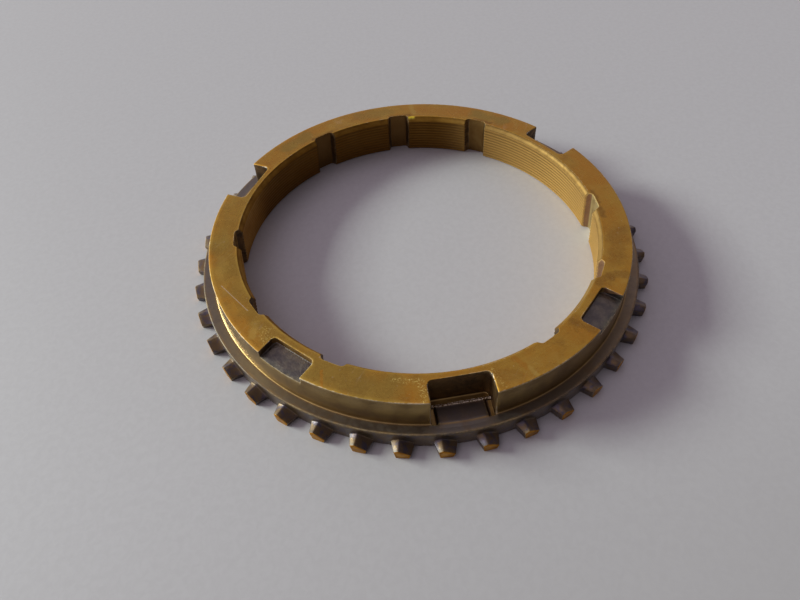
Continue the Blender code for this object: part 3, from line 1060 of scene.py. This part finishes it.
def makeLeadIn():
    skin = Finish("turned lead-in", leadIn)
    skin.base = skin.tones(skin.mottle(size=3.0, low=0.36, high=0.68), "gold", "brown")
    # painted light on the right side
    skin.lay("paintedLight", skin.place("side", **litRightSide), share=0.8)
    marks = skin.place("marks", spacing=0.14)
    skin.lay("brown", skin.ramp(marks, low=0.60, high=0.40, end=0.45))
    # painted glint beside a rear slot
    skin.lay("glint", skin.topStain(0.5, *leadIn["glintEnds"], cloud=0.2), share=0.95)
    skin.finish((marks, "markDepth"))


# painted light: the slots and their side walls are lighter on the right side, which faces the window
litSlotSide = {"direction": aroundRing(5), "low": 0.64, "high": 0.92}
litSlotWallSide = {"direction": aroundRing(-18), "low": 0.75, "high": 0.95}

slotFace = {
    "tan": (0.42, 0.260, 0.085),
    "brown": (0.30, 0.165, 0.045),
    # painted shade for the rear side
    "sideTone": (0.185, 0.100, 0.030),
    # painted light for the right side
    "paintedLight": (0.66, 0.54, 0.26),
    "worn": (0.80, 0.60, 0.28),
    "roughness": (0.44, 0.54),
    "roughCloud": (1.0, 0.2),
    "grainDepth": 0.006,
}


def makeSlotFace():
    skin = Finish("milled oil slots", slotFace)
    skin.base = skin.tones(skin.mottle(size=3.0, low=0.36, high=0.66), "tan", "brown")
    # painted shade on the rear side
    skin.lay("sideTone", skin.place("side", **rearShadeSide), share=0.8)
    # painted light on the right side
    skin.lay("paintedLight", skin.place("side", **litSlotSide), share=0.8)
    skin.lay("worn", skin.place("wear", start=0.45, full=0.9), share=0.1)
    skin.finish((skin.mottle(size=0.4, low=0.2, high=0.8), "grainDepth"))


brownedFace = {
    "brown": (0.235, 0.140, 0.055),
    "dark": (0.115, 0.072, 0.034),
    # painted light for the slot walls on the side that faces the window
    "paintedLight": (0.40, 0.235, 0.130),
    "worn": (0.50, 0.38, 0.18),
    # painted glints: grains on the lip's edges, and the thread's ends at the slot mouths
    "glint": (0.92, 0.86, 0.72),
    "comb": (0.80, 0.60, 0.22),
    "grime": (0.03, 0.02, 0.012),
    "glintStart": (29.9, 30.2),  # distances from the axis between which painted glints, bright grains, lie on the edges
    "glintEnd": (31.0, 31.5),
    "roughness": (0.44, 0.58),
    "roughCloud": (0.8, 0.2),
    "film": (0.25, 0.4),
    "grainDepth": 0.015,
}


def makeBrownedFace():
    f = brownedFace
    skin = Finish("browned notch", f)
    skin.base = skin.tones(skin.mottle(size=1.8, low=0.35, high=0.65), "brown", "dark")
    skin.lay("worn", skin.place("wear", start=0.35, full=0.8, ragged=0.9), share=0.5)
    skin.lay("grime", skin.place("dirt"), share=0.15)
    # painted light: slot walls lighter on the side that faces the window
    skin.lay("paintedLight", skin.place("side", **litSlotWallSide), share=0.9)
    # painted glints: bright grains on the lit edges of the notch's lip
    glintGrains = skin.mottle(size=0.22, low=0.45, high=0.53, swirl=0.0, shift=0.8)
    rubbed = skin.place("wear", start=0.16, full=0.42, ragged=0.3)
    outside = skin.ramp(skin.place("radius"), *f["glintStart"])
    lip = skin.times(outside, skin.ramp(skin.place("radius"), *f["glintEnd"], start=1.0, end=0.15))
    skin.lay("glint", skin.times(skin.times(rubbed, glintGrains), lip), share=0.9)
    # painted glints at the thread's ends along the slot mouths, on the side that faces the window
    inside = skin.times(skin.minus(1.0, outside), skin.place("side", **litSlotSide))
    skin.lay("comb", skin.times(rubbed, inside), share=0.7)
    skin.finish((skin.mottle(size=0.5, low=0.2, high=0.8), "grainDepth"))


# the flange's skin is browner towards the front-right
brownerFlangeSide = {"direction": aroundRing(-35), "low": 0.85, "high": 1.15}

forgedSkin = {
    "foot": (0.34, 0.225, 0.085),
    # partly worn brass and partly a painted glow along the rounded rim
    "rim": (0.30, 0.180, 0.050),
    "grey": (0.158, 0.136, 0.105),
    "pad": (0.072, 0.053, 0.036),
    # browner tone for the front-right side
    "sideTone": (0.165, 0.112, 0.042),
    "brown": (0.140, 0.086, 0.032),
    "purple": (0.074, 0.058, 0.078),
    "red": (0.165, 0.098, 0.036),
    "worn": (0.58, 0.46, 0.22),
    # distances from the axis between which each part of the skin fades in or out
    "padEnd": (33.0, 33.5),
    "footStart": (33.3, 33.45),
    "footEnd": (33.45, 33.8),
    "rimStart": (34.6, 34.95),
    "rimEnd": (35.05, 35.15),
    "teethStart": (34.8, 35.3),
    "roughness": (0.36, 0.50),
    "roughCloud": (0.7, 0.2),
    "film": (0.8, 0.40),
    "swellDepth": 0.015,
    "grainDepth": 0.006,
}


def makeForgedSkin():
    f = forgedSkin
    skin = Finish("forged skin", f)
    radius = skin.place("radius")

    def between(start, end):
        return skin.times(skin.ramp(radius, *f[start]), skin.ramp(radius, *f[end], start=1.0, end=0.0))

    skin.base = skin.tones(between("footStart", "footEnd"), "grey", "foot")
    skin.base = skin.blend(skin.ramp(radius, *f["padEnd"]), (*f["pad"], 1.0), skin.base)
    # browner towards the front-right
    skin.lay("sideTone", skin.place("side", **brownerFlangeSide), share=0.6)
    teeth = skin.tones(skin.mottle(size=1.2, low=0.46, high=0.60), "brown", "purple")
    skin.base = skin.blend(skin.ramp(radius, *f["teethStart"]), skin.base, teeth)
    # the rim band is partly worn brass and partly a painted glow along the flange's rounded rim
    broken = skin.mottle(size=2.0, low=0.30, high=0.62, shift=0.1)
    skin.lay("rim", skin.times(between("rimStart", "rimEnd"), broken), share=0.6)
    skin.lay("red", skin.mottle(size=4.0, low=0.52, high=0.7, shift=0.6), share=0.5)
    skin.lay("purple", skin.mottle(size=0.8, low=0.5, high=0.7, shift=0.3), share=0.25)
    skin.lay("worn", skin.place("wear", start=0.35, full=0.9, ragged=0.9), share=0.35)
    swell = skin.mottle(size=2.4, low=0.2, high=0.8, swirl=0.0, shift=0.9)
    grain = skin.mottle(size=0.3, low=0.2, high=0.8)
    skin.finish((swell, "swellDepth"), (grain, "grainDepth"))


toothTip = {
    "gold": (0.54, 0.260, 0.024),
    "brown": (0.34, 0.150, 0.016),
    "worn": (0.80, 0.56, 0.20),
    "roughness": (0.30, 0.42),
    "roughCloud": (0.7, 0.0),
    "markDepth": 0.002,
}


def makeToothTip():
    skin = Finish("turned tooth tips", toothTip)
    skin.base = skin.tones(skin.mottle(size=1.6, low=0.42, high=0.66), "gold", "brown")
    marks = skin.place("marks", spacing=0.12)
    skin.lay("brown", skin.ramp(marks, low=0.62, high=0.40, end=0.3))
    skin.lay("worn", skin.place("wear", start=0.4, full=0.8), share=0.12)
    skin.finish((marks, "markDepth"))


pocketFloor = {
    "steel": (0.130, 0.112, 0.085),
    "dark": (0.080, 0.070, 0.062),
    "worn": (0.55, 0.44, 0.24),
    "roughness": (0.30, 0.50),
    "roughCloud": (0.8, 0.0),
    "film": (0.6, 0.3),
    "grainDepth": 0.03,
}


def makePocketFloor():
    skin = Finish("forged pocket floor", pocketFloor)
    skin.base = skin.tones(skin.mottle(size=1.4, low=0.38, high=0.62), "steel", "dark")
    skin.lay("worn", skin.place("wear", start=0.45, full=1.0, ragged=0.9), share=0.5)
    skin.finish((skin.mottle(size=0.55, low=0.2, high=0.8), "grainDepth"))


# in the order of the zones
makeTurnedFace()
makeOuterWall()
makeConeFace()
makeSlotFace()
makeBrownedFace()
makeForgedSkin()
makeToothTip()
makePocketFloor()
makeLeadIn()
print("finishes made")

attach(ringPiece, "root")
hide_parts("synchronizer_ring")


# Floor, light and camera

table = {
    "reach": 3.0,  # metres from the middle to each edge
    "colour": (0.452, 0.451, 0.452),
    "fleck": (0.43, 0.426, 0.428),
    # painted shade: the floor is darker towards the front-right, away from the window
    "far": (0.35, 0.346, 0.336),
    "floorFalloffSide": {"direction": aroundRing(-75), "low": 0.7, "high": 3.6},
    "roughness": 0.65,
}
floorMesh = bpy.data.meshes.new("floor")
floorCorners = [(x * table["reach"], y * table["reach"], 0) for x, y in ((-1, -1), (1, -1), (1, 1), (-1, 1))]
floorMesh.from_pydata(floorCorners, [], [(0, 1, 2, 3)])
floor = newObject("floor", floorMesh)
paint = Nodes(newMaterial("pale table", floorMesh))
floorShader = paint.tree.nodes["Principled BSDF"]
floorShader.inputs["Roughness"].default_value = table["roughness"]
flecked = paint.blend(paint.mottle(size=0.9, low=0.3, high=0.7), (*table["colour"], 1), (*table["fleck"], 1))
# painted shade away from the window
shadedFloorColour = paint.blend(paint.place("side", **table["floorFalloffSide"]), flecked, (*table["far"], 1))
paint.feed(floorShader.inputs["Base Color"], shadedFloorColour)

window = {
    "azimuth": 159,  # direction from the ring, where 0 is +X
    "elevation": 24,
    "distance": 4.0,
    "width": 1.60,
    "height": 0.92,
    "power": 202.4,
    "colour": (0.92, 1.0, 0.93),
}


def addWindow():
    # A soft rectangle that faces the ring
    data = bpy.data.lights.new("window", "AREA")
    data.shape = "RECTANGLE"
    data.size = window["width"]
    data.size_y = window["height"]
    data.energy = window["power"]
    data.color = window["colour"]
    azimuth, elevation = (math.radians(window[part]) for part in ("azimuth", "elevation"))
    flat = window["distance"] * math.cos(elevation)
    up = window["distance"] * math.sin(elevation)
    lamp = newObject("window", data)
    lamp.location = (flat * math.cos(azimuth), flat * math.sin(azimuth), up)
    lamp.rotation_euler = (-lamp.location).to_track_quat("-Z", "Y").to_euler()


addWindow()

room = {
    "lit": (0.474, 0.407, 0.476),
    "glow": (0.95, 0.82, 0.96),
    "glowSide": (-0.55, 0.21, 0.81),  # direction of the bright part above the window
    "glowRange": (0.86, 0.98),
    "shaded": (0.086, 0.076, 0.086),
    "shadedSide": (0.66, -0.73, 0.18),  # direction of the darkest part of the room
    "shadeRange": (0.0, 0.85),
}
world = bpy.data.worlds.new("room")
world.use_nodes = True
walls = Nodes(world.node_tree)
direction = walls.add("TexCoord").outputs["Generated"]
shade = walls.ramp(walls.vector("DOT_PRODUCT", direction, room["shadedSide"]), *room["shadeRange"])
glow = walls.ramp(walls.vector("DOT_PRODUCT", direction, room["glowSide"]), *room["glowRange"])
plainWalls = walls.blend(shade, (*room["lit"], 1), (*room["shaded"], 1))
walls.feed(walls.tree.nodes["Background"].inputs["Color"], walls.blend(glow, plainWalls, (*room["glow"], 1)))
bpy.context.scene.world = world

view = {
    "distanceBack": 66.04,  # millimetres in the camera's own heading, before its turn about the ring's axis
    "height": 68.90,
    "yaw": -3.097,
    "pitch": 51.05,
    "roll": -3.569,
    "turnAboutAxis": -9.535,
    "focalPixels": 557.7,
    "imageWidth": 800,
    "sensor": 36.0,
    "clip": (0.001, 50),  # metres
}


def addCamera():
    # The camera looks along its yaw and pitch, leans by its roll, and stands turned about the ring's axis
    yaw, pitch, roll = (math.radians(view[part]) for part in ("yaw", "pitch", "roll"))
    forward = np.array([math.sin(yaw) * math.cos(pitch), math.cos(yaw) * math.cos(pitch), -math.sin(pitch)])
    right = np.array([math.cos(yaw), -math.sin(yaw), 0])
    up = np.cross(right, forward)
    leanRight = math.cos(roll) * right + math.sin(roll) * up
    leanUp = -math.sin(roll) * right + math.cos(roll) * up
    axes = np.stack([leanRight, leanUp, -forward], axis=1)
    stand = Matrix.Translation((0, -view["distanceBack"] * mm, view["height"] * mm)) @ Matrix(axes).to_4x4()
    data = bpy.data.cameras.new("camera")
    data.sensor_width = view["sensor"]
    data.lens = view["focalPixels"] * view["sensor"] / view["imageWidth"]
    data.clip_start, data.clip_end = view["clip"]
    camera = newObject("camera", data)
    camera.matrix_world = Matrix.Rotation(math.radians(view["turnAboutAxis"]), 4, "Z") @ stand
    bpy.context.scene.camera = camera


addCamera()
print("floor, light and camera placed")

bpy.context.scene.view_settings.view_transform = "Standard"
